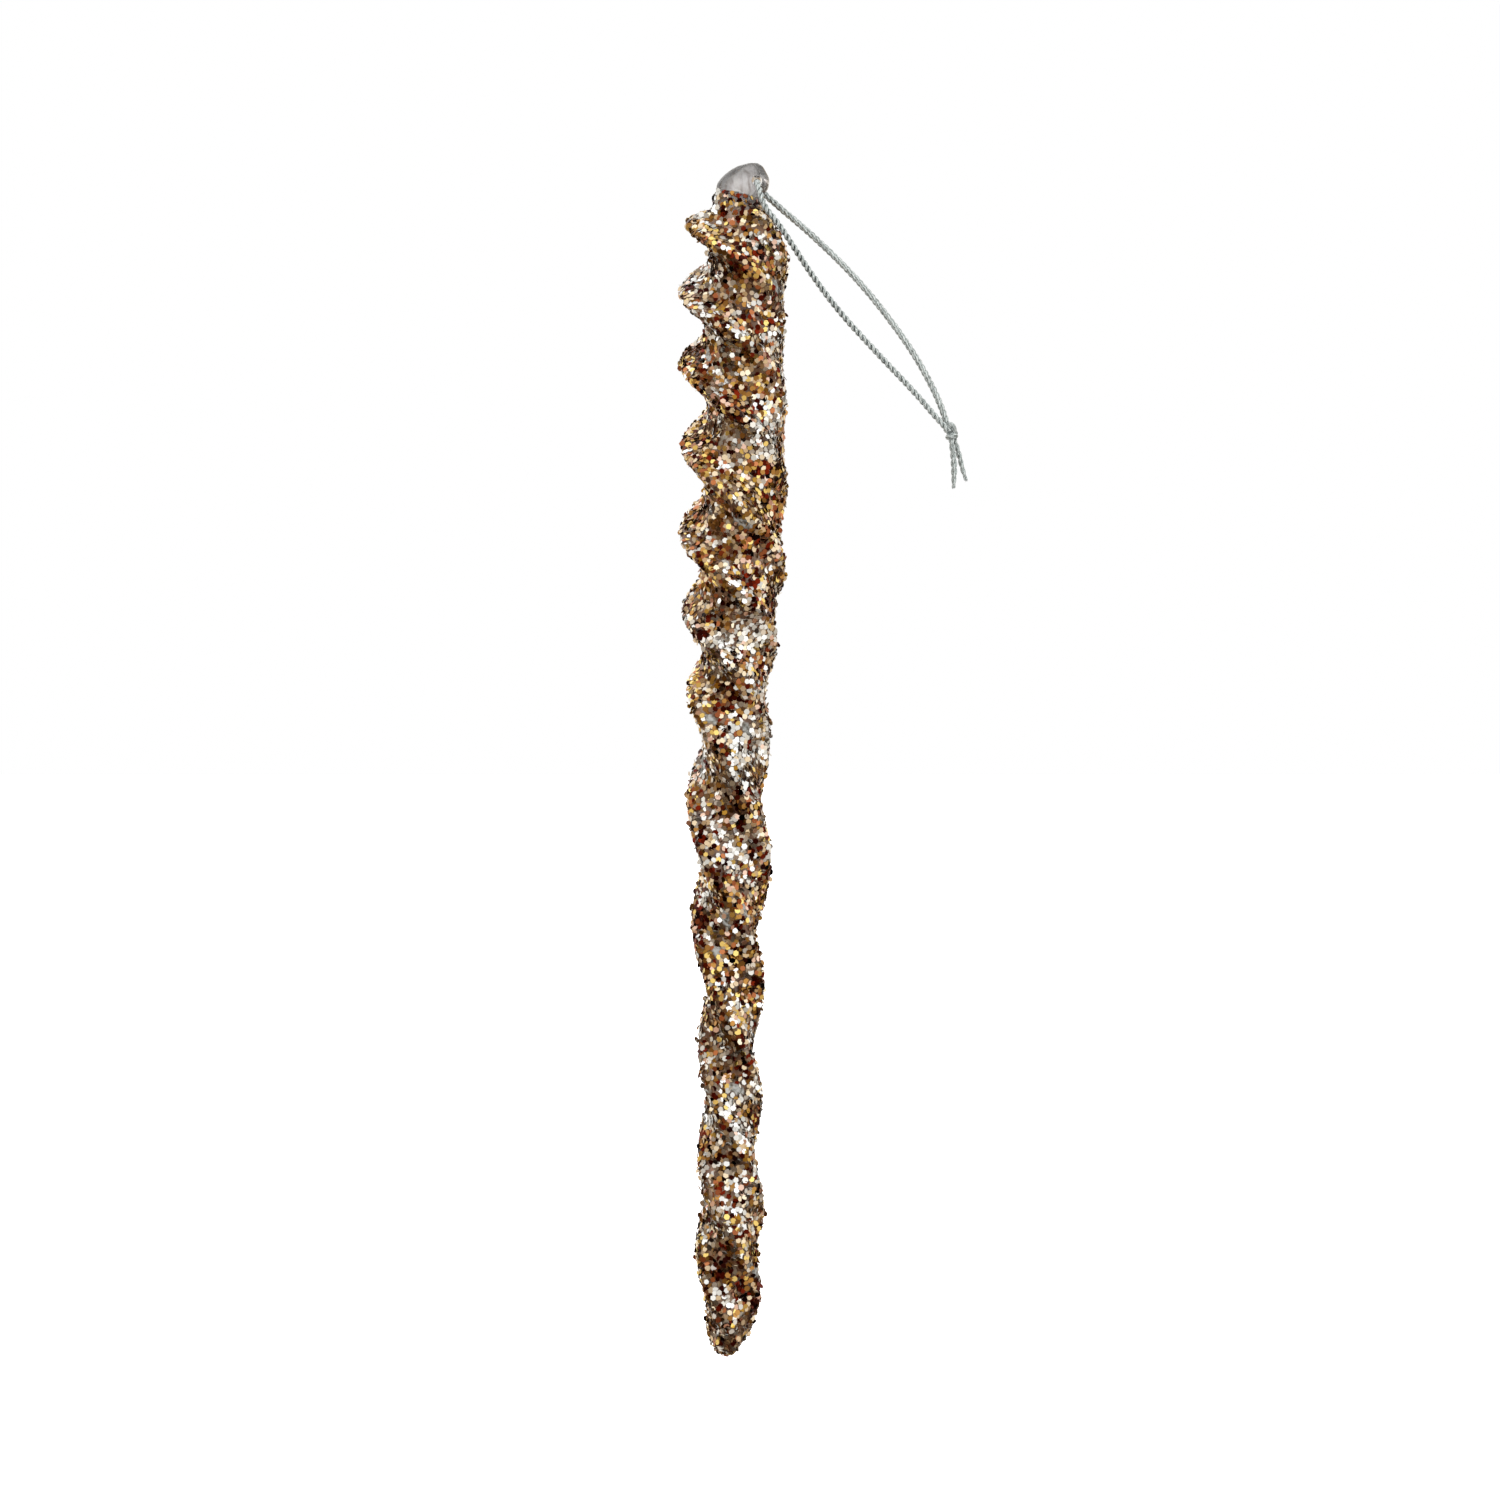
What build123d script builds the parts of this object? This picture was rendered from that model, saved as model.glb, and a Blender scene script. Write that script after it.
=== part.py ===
from build123d import *
import math
import os

import numpy as np

# A twisted glass icicle ornament with a glittered shaft and a knotted metallic hanging cord.
# Millimetres, +Z up. The origin is the middle of the hanging eye, a hole that runs through the
# icicle's clear head along Y. The icicle hangs down from it, and the cord's loop leans to +X.

# Overall heights
CROWN = 3.5  # the top of the clear head
TIP = -206.5  # the rounded point

# The eye and the cord through it
EYE_RADIUS = 1.1
EYE_CUT_LENGTH = 18.0  # the eye's cutter reaches past the head on both sides
CORD_DIAMETER = 1.2
TAIL_DIAMETER = 1.0

# The head's clear dome: height, middle in X, half width in X, half depth in Y
HEAD = [
    (-3.0, -3.4, 4.5, 4.4),
    (-1.2, -2.7, 4.9, 4.0),
    (0.0, -2.4, 4.6, 3.4),
    (0.9, -2.1, 4.2, 2.9),
    (1.9, -1.8, 3.4, 2.3),
    (3.0, -1.2, 2.1, 1.5),
    (CROWN, -0.7, 0.9, 0.7),
]
HEAD_FOOT = -3.0
SHAFT_TOP = -6.0  # the dome's section turns into the shaft's between these two heights

# The shaft: height, middle in X, core radius, ridge height, and how one-sided the ridges are,
# from 0, the same all round, to 1, tallest towards -X and gone towards +X
SHAFT = [
    (-3.0, -3.2, 4.5, 0.0, 0.5),
    (-4.6, -3.1, 4.8, 0.6, 0.5),
    (-5.8, -2.9, 5.3, 3.7, 0.5),
    (-7.4, -2.7, 5.7, 4.6, 0.6),
    (-14.0, -1.8, 7.0, 4.8, 0.8),
    (-22.0, -2.4, 7.0, 4.9, 0.8),
    (-40.0, -2.0, 6.8, 4.8, 0.8),
    (-66.0, -3.0, 7.0, 3.9, 0.5),
    (-92.0, -4.0, 5.4, 2.8, 0.4),
    (-118.0, -4.7, 5.1, 2.7, 0.1),
    (-144.0, -4.7, 3.9, 2.1, 0.0),
    (-170.0, -4.8, 4.4, 1.4, 0.0),
    (-190.0, -4.8, 4.8, 1.3, 0.0),
    (-200.0, -4.9, 3.9, 1.2, 0.0),
    (TIP, -5.2, 3.6, 1.0, 0.0),
]
# Three ridges wind down the shaft. Each of these is a height where one of them passes -X.
RIDGE_COUNT = 3
RIDGE_HEIGHTS = [-6, -19, -32, -46, -61.5, -75.5, -89.5, -108.5, -132, -152, -170.5, -188, -206]
SHARP_RIDGE = 3.6  # the ridges are narrow in the upper half and broad in the lower half
BROAD_RIDGE = 1.8
RIDGES_BROADEN = (-66.0, -96.0)
TIP_ROUNDING = 9.0  # the length over which the end rounds off

# The glittered adhesive coat on the shaft, from a slanting edge below the head down to the point
COAT_THICKNESS = 0.4
FLAKE_RELIEF = 0.15  # the flakes on the coat reach this much further out than it does
COAT_EDGE_HEIGHT = -3.2  # on the Z axis
COAT_EDGE_SLOPE = 12.0  # degrees, downwards towards +X
COAT_TOP_SECTIONS = [-0.8, -1.6, -2.4]  # outlines above the shaft's, cut off along the edge
GLASS_NARROWS = (0.5, -2.5)  # the glass is set back under the coat from between these heights

# Outlines of the loft
SECTION_POINTS = 42
HEAD_SECTIONS = [3.44, 3.2, 2.8, 2.2, 1.5, 0.8, 0.0, -0.8, -1.6, -2.4]
NECK_SECTIONS = [-3.2, -3.9, -4.5, -5.1]
SHAFT_SECTION_TOP = -5.7
SHAFT_SECTION_STEP = 1.4
END_SECTIONS = [8.4, 6.6, 5.0, 3.6, 2.4, 1.4]  # above the point
SPAN_SECTIONS = 12  # the icicle is lofted in spans of this many outlines
SMALL = 0.01  # radians, the step that an outline's slope is measured over

# The cord's route, from the middle of the eye to the knot, in front of the head and behind it
FRONT_STRAND = [
    (0, 0, 0),
    (0, -4.6, -0.1),
    (1.0, -5.6, -4.7),
    (3.5, -5.9, -7.7),
    (5.8, -5.0, -11.0),
    (9.0, -3.6, -15.8),
    (13.9, -2.5, -22.4),
    (20.6, -1.5, -29.6),
    (28.1, -0.8, -37.3),
    (31.8, -0.7, -41.7),
    (33.9, -0.65, -43.8),
]
BACK_STRAND = [
    (0, 0, 0),
    (0, 4.4, 0),
    (3.3, 4.1, -3.1),
    (10.0, 3.4, -8.8),
    (18.6, 2.4, -17.4),
    (26.9, 1.4, -28.4),
    (31.3, 0.9, -36.4),
    (33.2, 0.7, -41.2),
    (33.9, 0.65, -43.9),
]
CORNER_SHARE = 0.45  # each corner's arc takes this share of the shorter run beside it

# The overhand knot, and the two cut ends that hang from it
KNOT_CENTRE = (34.0, 0.0, -43.7)
KNOT_WIDTH = 2.8
KNOT_HEIGHT = 3.6
KNOT_LEAN = -20.0  # degrees about Y
LEFT_TAIL = [(34.1, -0.3, -44.4), (34.5, -0.4, -47.4), (34.75, -0.3, -50.5), (34.6, -0.2, -53.6)]
RIGHT_TAIL = [(34.5, 0.3, -44.4), (35.6, 0.4, -47.6), (36.1, 0.5, -50.0), (36.8, 0.5, -52.2)]


def smooth(stations, column, height):
    """A column of a table of stations at any height, along a smooth curve through them."""
    heights = np.array([row[0] for row in stations], float)[::-1]
    values = np.array([row[column] for row in stations], float)[::-1]
    if heights[0] > heights[-1]:
        heights, values = heights[::-1], values[::-1]
    slopes = np.gradient(values, heights)
    height = min(max(height, heights[0]), heights[-1])
    i = min(int(np.searchsorted(heights, height, side="right")) - 1, len(heights) - 2)
    span = heights[i + 1] - heights[i]
    t = (height - heights[i]) / span
    return float(
        (1 + 2 * t) * (1 - t) ** 2 * values[i]
        + t * (1 - t) ** 2 * span * slopes[i]
        + t * t * (3 - 2 * t) * values[i + 1]
        - t * t * (1 - t) * span * slopes[i + 1]
    )


def fade(start, end, height):
    """0 at or before start, 1 at or past end, smooth between."""
    t = min(max((height - start) / (end - start), 0), 1)
    return t * t * (3 - 2 * t)


def shaft_radius(angle, height):
    """The shaft's distance from its middle, coat and flakes included, in a direction."""
    turns = smooth([(h, i) for i, h in enumerate(RIDGE_HEIGHTS)], 1, height) / RIDGE_COUNT
    one_sided = smooth(SHAFT, 4, height)
    sharpness = SHARP_RIDGE + (BROAD_RIDGE - SHARP_RIDGE) * fade(*RIDGES_BROADEN, height)
    wave = (1 + math.cos(RIDGE_COUNT * (angle - math.pi - 2 * math.pi * turns))) / 2
    lean = (1 - one_sided * math.cos(angle)) / (1 + one_sided)
    radius = smooth(SHAFT, 2, height) + smooth(SHAFT, 3, height) * lean * wave**sharpness
    past = max(0, 1 - (height - TIP) / TIP_ROUNDING)
    return radius * math.sqrt(1 - past**2)


def head_radius(angle, height):
    """The clear dome's distance from its middle, in a direction."""
    half_width, half_depth = smooth(HEAD, 2, height), smooth(HEAD, 3, height)
    across = half_depth * math.cos(angle)
    along = half_width * math.sin(angle)
    return half_width * half_depth / math.hypot(across, along)


def radius_at(angle, height):
    """The icicle's distance from its middle, in a direction: the dome's, and then the shaft's."""
    shaft_share = fade(HEAD_FOOT, SHAFT_TOP, height)
    radius = head_radius(angle, height) * (1 - shaft_share)
    if shaft_share > 0:
        radius += shaft_radius(angle, height) * shaft_share
    return radius


def section(height, inset):
    """The icicle's closed outline at a height, set in squarely by a distance."""
    shaft_share = fade(HEAD_FOOT, SHAFT_TOP, height)
    middle = smooth(HEAD, 1, height) * (1 - shaft_share) + smooth(SHAFT, 1, height) * shaft_share
    points = []
    for i in range(SECTION_POINTS):
        angle = 2 * math.pi * i / SECTION_POINTS
        radius = radius_at(angle, height)
        growth = (radius_at(angle + SMALL, height) - radius_at(angle - SMALL, height)) / (2 * SMALL)
        share = inset / math.hypot(radius, growth)
        out, round_it = radius * (1 - share), growth * share
        x = middle + out * math.cos(angle) - round_it * math.sin(angle)
        y = out * math.sin(angle) + round_it * math.cos(angle)
        points.append((x, y, height))
    even = [i / SECTION_POINTS for i in range(SECTION_POINTS + 1)]
    return Wire([Edge.make_spline(points, periodic=True, parameters=even)])


def shaft_heights(end):
    """The heights of the loft's outlines from the neck to the shaft's point."""
    foot = TIP + END_SECTIONS[0] + SHAFT_SECTION_STEP / 2
    count = round((SHAFT_SECTION_TOP - foot) / SHAFT_SECTION_STEP)
    heights = [SHAFT_SECTION_TOP - i * SHAFT_SECTION_STEP for i in range(count + 1)]
    return NECK_SECTIONS + heights + [TIP + above for above in END_SECTIONS] + [end]


def lofted(outlines):
    """One solid through all the outlines, in spans that share their end outlines."""
    spans = []
    for first in range(0, len(outlines) - 1, SPAN_SECTIONS):
        spans.append(Solid.make_loft(outlines[first : first + SPAN_SECTIONS + 1]))
    return spans[0].fuse(*spans[1:])


def solid_icicle():
    """The clear glass without its eye: the twisted shaft under the coat, and the domed head."""
    inset = COAT_THICKNESS + FLAKE_RELIEF
    heights = HEAD_SECTIONS + shaft_heights(TIP + inset)
    return lofted([section(z, inset * fade(*GLASS_NARROWS, z)) for z in heights])


def glitter_coat(glass):
    """The adhesive that holds the flakes, a thin skin on the shaft and its point."""
    heights = COAT_TOP_SECTIONS + shaft_heights(TIP + FLAKE_RELIEF)
    outside = lofted([section(z, FLAKE_RELIEF) for z in heights])
    edge = Plane((0, 0, COAT_EDGE_HEIGHT)).rotated((0, COAT_EDGE_SLOPE, 0))
    return split(outside - glass, bisect_by=edge, keep=Keep.BOTTOM)


def corner_radii(points):
    """The radius of each corner's arc, as large as its two runs allow."""
    radii = []
    for before, at, after in zip(points, points[1:], points[2:]):
        arriving = Vector(*at) - Vector(*before)
        leaving = Vector(*after) - Vector(*at)
        half_turn = math.radians(arriving.get_angle(leaving)) / 2
        run = min(arriving.length, leaving.length)
        radii.append(CORNER_SHARE * run / math.tan(half_turn))
    return radii


def tube(name, points, diameter):
    """A round cord along straight runs joined by tangent arcs."""
    radii = corner_radii(points)
    path = FilletPolyline(*points, radius=radii)
    start = Plane(origin=path @ 0, z_dir=path % 0)
    solid = sweep(start * Circle(diameter / 2), path=path)
    expected = math.pi * diameter**2 / 4 * path.length
    print(
        f"{name}: length {path.length:.1f}, radii {[round(r, 1) for r in radii]},"
        f" volume {solid.volume:.2f} of {expected:.2f}"
    )
    return solid


def overhand_knot():
    """The knot's closed outer shape."""
    oval = Plane.XZ * Ellipse(KNOT_WIDTH / 2, KNOT_HEIGHT / 2)
    half = split(oval, bisect_by=Plane.YZ, keep=Keep.TOP)
    return Pos(*KNOT_CENTRE) * Rot(0, KNOT_LEAN, 0) * revolve(half, Axis.Z)


def save(node, shape):
    export_step(shape, f"parts/{node}.step")


def main():
    os.makedirs("parts", exist_ok=True)
    glass = solid_icicle()
    eye = Rot(90, 0, 0) * Cylinder(EYE_RADIUS, EYE_CUT_LENGTH)
    knot = overhand_knot()
    save("glass_icicle", glass - eye)
    save("glitter_coat", glitter_coat(glass))
    save("cord_front_strand", tube("front strand", FRONT_STRAND, CORD_DIAMETER) - knot)
    save("cord_back_strand", tube("back strand", BACK_STRAND, CORD_DIAMETER) - knot)
    save("cord_knot", knot)
    save("cord_left_tail", tube("left tail", LEFT_TAIL, TAIL_DIAMETER) - knot)
    save("cord_right_tail", tube("right tail", RIGHT_TAIL, TAIL_DIAMETER) - knot)


main()
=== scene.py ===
import math

import bpy
import numpy as np
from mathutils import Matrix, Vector
from mathutils.bvhtree import BVHTree


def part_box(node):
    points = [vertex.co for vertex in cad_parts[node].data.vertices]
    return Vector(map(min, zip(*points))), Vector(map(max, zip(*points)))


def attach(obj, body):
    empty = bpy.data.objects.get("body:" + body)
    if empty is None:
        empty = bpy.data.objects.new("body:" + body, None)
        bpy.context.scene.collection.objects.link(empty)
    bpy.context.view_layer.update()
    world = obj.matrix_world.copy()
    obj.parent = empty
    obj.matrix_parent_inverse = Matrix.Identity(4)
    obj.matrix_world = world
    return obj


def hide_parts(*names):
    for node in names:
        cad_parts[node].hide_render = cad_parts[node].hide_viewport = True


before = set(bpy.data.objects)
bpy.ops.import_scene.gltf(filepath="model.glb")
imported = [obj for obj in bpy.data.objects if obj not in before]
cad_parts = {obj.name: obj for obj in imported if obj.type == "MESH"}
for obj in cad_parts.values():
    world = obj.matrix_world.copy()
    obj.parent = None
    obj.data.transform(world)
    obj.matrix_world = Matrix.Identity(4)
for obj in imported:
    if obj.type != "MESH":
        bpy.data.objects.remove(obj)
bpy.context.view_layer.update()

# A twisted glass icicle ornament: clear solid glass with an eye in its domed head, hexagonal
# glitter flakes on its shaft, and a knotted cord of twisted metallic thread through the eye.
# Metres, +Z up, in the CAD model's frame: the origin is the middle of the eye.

scene = bpy.context.scene
MM = 0.001
FULL_TURN = 2 * math.pi

# ---------------------------------------------------------------- camera

CAMERA_PLACE = (-0.00123, -0.6235, -0.0998)
LENS_MM = 85
SENSOR_MM = 36


def add_camera():
    """The photograph's view: straight from the front, the whole ornament and its cord."""
    lens = bpy.data.cameras.new("camera")
    lens.lens = LENS_MM
    lens.sensor_width = SENSOR_MM
    camera = bpy.data.objects.new("camera", lens)
    camera.location = CAMERA_PLACE
    camera.rotation_euler = (math.radians(90), 0, 0)
    scene.collection.objects.link(camera)
    scene.camera = camera


add_camera()

# ---------------------------------------------------------------- shader helpers


class NodeTree:
    """Short ways to add nodes to a node tree and link them."""

    def __init__(self, tree):
        self.nodes = tree.nodes
        self.links = tree.links

    def node(self, kind, inputs=None, **settings):
        """A shader node. Each input is a plain value or another node's output."""
        made = self.nodes.new("ShaderNode" + kind)
        for key, value in settings.items():
            setattr(made, key, value)
        for key, value in (inputs or {}).items():
            if hasattr(value, "is_output"):
                self.links.new(value, made.inputs[key])
            else:
                made.inputs[key].default_value = value
        return made

    def math(self, operation, *values):
        return self.node("Math", dict(enumerate(values)), operation=operation).outputs[0]

    def remap(self, value, low, high, to_low=0.0, to_high=1.0):
        """A value between low and high as one between to_low and to_high, and never past them."""
        inputs = {0: value, 1: low, 2: high, 3: to_low, 4: to_high}
        return self.node("MapRange", inputs).outputs[0]

    def layer(self, name):
        """One of the mesh's own point attributes."""
        return self.node("Attribute", attribute_name=name).outputs["Fac"]

    def ramp(self, factor, stops):
        made = self.node("ValToRGB", {"Fac": factor})
        elements = made.color_ramp.elements
        while len(elements) < len(stops):
            elements.new(0.5)
        for element, (place, colour) in zip(elements, stops):
            element.position = place
            element.color = (*colour, 1)
        return made.outputs["Color"]

    def mix(self, factor, first, second):
        """The first colour where the factor is 0, the second one where it is 1."""
        inputs = {0: factor, 6: first, 7: second}
        return self.node("Mix", inputs, data_type="RGBA").outputs[2]

    def multiply(self, first, second):
        """Two colours multiplied, as of two filters."""
        inputs = {0: 1.0, 6: first, 7: second}
        return self.node("Mix", inputs, data_type="RGBA", blend_type="MULTIPLY").outputs[2]

    def noise(self, scale, detail, where=None, distortion=0.0):
        if where is None:
            where = self.node("TexCoord").outputs["Object"]
        inputs = {"Vector": where, "Scale": scale, "Detail": detail, "Distortion": distortion}
        return self.node("TexNoise", inputs).outputs["Fac"]


class Shader(NodeTree):
    """A procedural material on one Principled BSDF."""

    def __init__(self, name, **sockets):
        self.material = bpy.data.materials.new(name)
        self.material.use_nodes = True
        super().__init__(self.material.node_tree)
        self.surface = self.nodes["Principled BSDF"]
        for socket, value in sockets.items():
            self.surface.inputs[socket.replace("_", " ")].default_value = value

    def feed(self, socket, output):
        self.links.new(output, self.surface.inputs[socket])

    def bump(self, height, distance, strength):
        inputs = {"Height": height, "Distance": distance, "Strength": strength}
        self.feed("Normal", self.node("Bump", inputs).outputs["Normal"])


def srgb(red, green, blue):
    """A colour as it looks on a screen, 0 to 255, as the linear colour a shader takes."""
    return tuple(
        v / 12.92 if v <= 0.04045 else ((v + 0.055) / 1.055) ** 2.4
        for v in (red / 255, green / 255, blue / 255)
    )


# ---------------------------------------------------------------- mesh helpers


def piece(name, vertices, faces, material, body, layers, smooth=True):
    """A mesh object that rides on a body. layers gives point attributes by name."""
    mesh = bpy.data.meshes.new(name)
    mesh.from_pydata([tuple(v) for v in vertices], [], [tuple(f) for f in faces])
    for layer, values in layers.items():
        attribute = mesh.attributes.new(layer, "FLOAT", "POINT")
        attribute.data.foreach_set("value", np.asarray(values, np.float32))
    mesh.polygons.foreach_set("use_smooth", [smooth] * len(mesh.polygons))
    mesh.materials.append(material)
    mesh.update()
    made = bpy.data.objects.new(name, mesh)
    scene.collection.objects.link(made)
    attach(made, body)
    return made


SPLINE_RESOLUTION = 24


def spline_points(route):
    """Points along the NURBS spline whose control points are the route's points."""
    curve = bpy.data.curves.new("route", "CURVE")
    curve.dimensions = "3D"
    curve.resolution_u = SPLINE_RESOLUTION
    spline = curve.splines.new("NURBS")
    spline.points.add(len(route) - 1)
    for point, place in zip(spline.points, route):
        point.co = (*place, 1)
    spline.order_u = 3
    spline.use_endpoint_u = True
    spline.resolution_u = SPLINE_RESOLUTION
    holder = bpy.data.objects.new("route", curve)
    scene.collection.objects.link(holder)
    mesh = bpy.data.meshes.new_from_object(holder)
    points = np.array([v.co for v in mesh.vertices], float)
    bpy.data.objects.remove(holder)
    bpy.data.curves.remove(curve)
    bpy.data.meshes.remove(mesh)
    return points


def distances(points):
    """How far along a line each of its points is."""
    lengths = np.linalg.norm(np.diff(points, axis=0), axis=1)
    return np.concatenate([[0], np.cumsum(lengths)])


def even(points, step):
    """The same line with its points a step apart, and how far along it they are."""
    along = distances(points)
    count = max(2, int(round(along[-1] / step)) + 1)
    places = np.linspace(0, along[-1], count)
    return np.stack([np.interp(places, along, points[:, i]) for i in range(3)], 1), places


def spread_out(shares, values):
    """One value or several, spaced evenly from 0 to 1, read off at each share."""
    return np.interp(shares, np.linspace(0, 1, np.size(values)), np.atleast_1d(values))


def unit(vectors):
    return vectors / np.maximum(np.linalg.norm(vectors, axis=-1, keepdims=True), 1e-12)


def frames(points):
    """Two directions across a line at each of its points, turned as little as possible."""
    along = unit(np.gradient(points, axis=0))
    upright = abs(along[0][2]) >= 0.9
    helper = np.array([1.0, 0, 0]) if upright else np.array([0, 0, 1.0])
    across = np.cross(along[0], helper)
    sides = []
    for direction in along:
        across = across - direction * np.dot(across, direction)
        across = across / np.linalg.norm(across)
        sides.append(across)
    sides = np.array(sides)
    return sides, np.cross(along, sides)


PLIES = 2
PLY_STEP = 0.12 * MM
GROOVE_TOP = 0.95  # painted shade in the grooves between plies begins at this share of the way out from the twist's middle
GROOVE_RUN = 0.5  # and is full this much further in


class Mesh:
    """Vertices, faces and point attributes, collected tube by tube."""

    def __init__(self, groove_shade_depth=(0.0,), shade=0.0):
        self.groove_shade_depth = groove_shade_depth  # how much painted shade darkens the grooves between plies along a tube
        self.shade = shade  # how dark the plies are between their grooves
        self.vertices, self.faces, self.around, self.along, self.groove_shade = [], [], [], [], []

    def tube(self, points, radius, corners, core=None, reach=None):
        """A closed round tube along a line. radius may differ from point to point.

        Around a core, a line that it winds round at that reach, the painted shade between the plies
        gets darker towards the core.
        """
        radius = np.broadcast_to(radius, len(points))
        side, other = frames(points)
        first = len(self.vertices)
        angles = FULL_TURN * np.arange(corners) / corners
        places = distances(points)
        depths = spread_out(np.linspace(0, 1, len(points)), self.groove_shade_depth)
        for i, centre in enumerate(points):
            for angle in angles:
                out = side[i] * math.cos(angle) + other[i] * math.sin(angle)
                vertex = centre + radius[i] * out
                self.vertices.append(vertex)
                self.around.append(angle)
                self.along.append(places[i])
                off = 1.0 if core is None else np.linalg.norm(vertex - core[i]) / reach[i]
                inside = min(max((GROOVE_TOP - off) / GROOVE_RUN, 0.0), 1.0)
                # painted shade in the grooves between plies, plus the tube's even darkness
                self.groove_shade.append(self.shade + depths[i] * inside)
        for i in range(len(points) - 1):
            low, high = first + i * corners, first + (i + 1) * corners
            for k in range(corners):
                following = (k + 1) % corners
                self.faces.append((low + k, low + following, high + following, high + k))
        last = first + (len(points) - 1) * corners
        self.faces.append([first + k for k in reversed(range(corners))])
        self.faces.append([last + k for k in range(corners)])

    def twist(self, points, spread, thickness, pitch, corners=8):
        """Plies wound round a line. spread and thickness may differ from point to point."""
        centres, places = even(points, PLY_STEP)
        side, other = frames(centres)
        share = places / places[-1]
        spread = spread_out(share, spread)
        thickness = spread_out(share, thickness)
        for ply in range(PLIES):
            turn = (FULL_TURN * (places / pitch + ply / PLIES))[:, None]
            out = side * np.cos(turn) + other * np.sin(turn)
            line = centres + spread[:, None] * out
            self.tube(line, thickness / 2, corners, centres, spread + thickness / 2)

    def piece(self, name, material, body, slot_name):
        layers = {"around": self.around, "along": self.along, "groove_shade": self.groove_shade}
        return piece(name, self.vertices, self.faces, material, body, layers)


# ---------------------------------------------------------------- cord

FILAMENTS = 5.0  # ridges round a ply
FILAMENT_LAY = 5200.0  # how far they turn, in radians in a metre of a ply


def thread_material():
    """Metallic yarn: fine silver filaments that run slightly aslant along each ply."""
    made = Shader("metallic_thread", Metallic=0.3, Roughness=0.45)
    lay = made.math("MULTIPLY", made.layer("along"), FILAMENT_LAY)
    strands = made.math("MULTIPLY_ADD", made.layer("around"), FILAMENTS, lay)
    ridges = made.remap(made.math("SINE", strands), -1.0, 1.0)
    mottle = made.noise(2600.0, 3.0)
    light = made.math("MULTIPLY_ADD", ridges, 0.45, mottle)
    # painted shade in the grooves between plies darkens the yarn
    light = made.math("MULTIPLY_ADD", made.layer("groove_shade"), -0.85, light)
    stops = [
        (0.0, srgb(38, 40, 39)),
        (0.25, srgb(98, 104, 102)),
        (0.6, srgb(158, 166, 164)),
        (0.95, srgb(212, 218, 217)),
    ]
    made.feed("Base Color", made.ramp(light, stops))
    made.feed("Roughness", made.remap(mottle, 0.3, 0.7, 0.25, 0.5))
    made.bump(ridges, 0.04 * MM, 0.7)
    return made.material


THREAD = thread_material()
CORD_BODY = "hanging_cord"
CORD_SLOT = "metallic_cord"
PLY_PITCH = 2.2 * MM

FRONT_STRAND = [
    (0, 0, 0),
    (0, -0.0046, -0.0001),
    (0.0010, -0.0056, -0.0047),
    (0.0035, -0.0059, -0.0077),
    (0.0058, -0.0050, -0.0110),
    (0.0090, -0.0036, -0.0158),
    (0.0139, -0.0025, -0.0224),
    (0.0206, -0.0015, -0.0296),
    (0.0281, -0.0008, -0.0373),
    (0.0318, -0.0007, -0.0417),
    (0.0339, -0.00065, -0.0438),
]
BACK_STRAND = [
    (0, 0, 0),
    (0, 0.0044, 0),
    (0.0033, 0.0041, -0.0031),
    (0.0100, 0.0034, -0.0088),
    (0.0186, 0.0024, -0.0174),
    (0.0269, 0.0014, -0.0284),
    (0.0313, 0.0009, -0.0364),
    (0.0332, 0.0007, -0.0412),
    (0.0339, 0.00065, -0.0439),
]
LEFT_TAIL = [
    (0.0341, -0.0003, -0.0444),
    (0.0345, -0.0004, -0.0474),
    (0.03475, -0.0003, -0.0505),
    (0.0346, -0.0002, -0.0536),
]
RIGHT_TAIL = [
    (0.0345, 0.0003, -0.0444),
    (0.0356, 0.0004, -0.0476),
    (0.0361, 0.0005, -0.0500),
    (0.0368, 0.0005, -0.0522),
]


def strand(name, route, node, spread, thickness, groove_shade_depth, shade):
    """Plies of metallic yarn twisted together along the route."""
    path = spline_points(route)
    made = Mesh(groove_shade_depth, shade)
    made.twist(path, spread, thickness, PLY_PITCH, corners=12)
    cord = made.piece(name, THREAD, CORD_BODY, CORD_SLOT)
    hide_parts(node)
    return cord, path


TAIL_SPREAD = 0.17  # of the cord's width
TAIL_PLY = 0.64
TAIL_PITCH = PLY_PITCH * 1.3
HAIRS = 9
HAIR_POINTS = 7


def tail(name, route, node, widths, seed):
    """A cut end of the cord, whose filaments loosen towards the cut. widths are in mm."""
    rng = np.random.default_rng(seed)
    path = spline_points(route)
    # painted shade in the grooves, less towards the cut, and an even darkness
    made = Mesh((0.3, 0.15, 0.1), 0.1)
    widths = np.array(widths) * MM
    made.twist(path, widths * TAIL_SPREAD, widths * TAIL_PLY, TAIL_PITCH, corners=10)
    end, run = path[-1], unit(path[-1] - path[-4])
    side, other = frames(path)
    shares = np.linspace(0, 1, HAIR_POINTS)
    for _ in range(HAIRS):
        turn = rng.uniform(0, FULL_TURN)
        out = side[-1] * math.cos(turn) + other[-1] * math.sin(turn)
        root = end + out * rng.uniform(0.05, 0.3) * MM - run * 0.6 * MM
        reach = rng.uniform(0.6, 0.95) * MM
        splay = out * rng.uniform(0.0, 0.12) * MM
        hair = np.array([root + run * reach * t + splay * t * t for t in shares])
        made.tube(hair, np.linspace(0.07, 0.03, HAIR_POINTS) * MM, 5)
    cut = made.piece(name, THREAD, CORD_BODY, CORD_SLOT)
    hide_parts(node)
    return cut


KNOT_LEAN = math.radians(20)
KNOT_TURN_POINTS = 60


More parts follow.
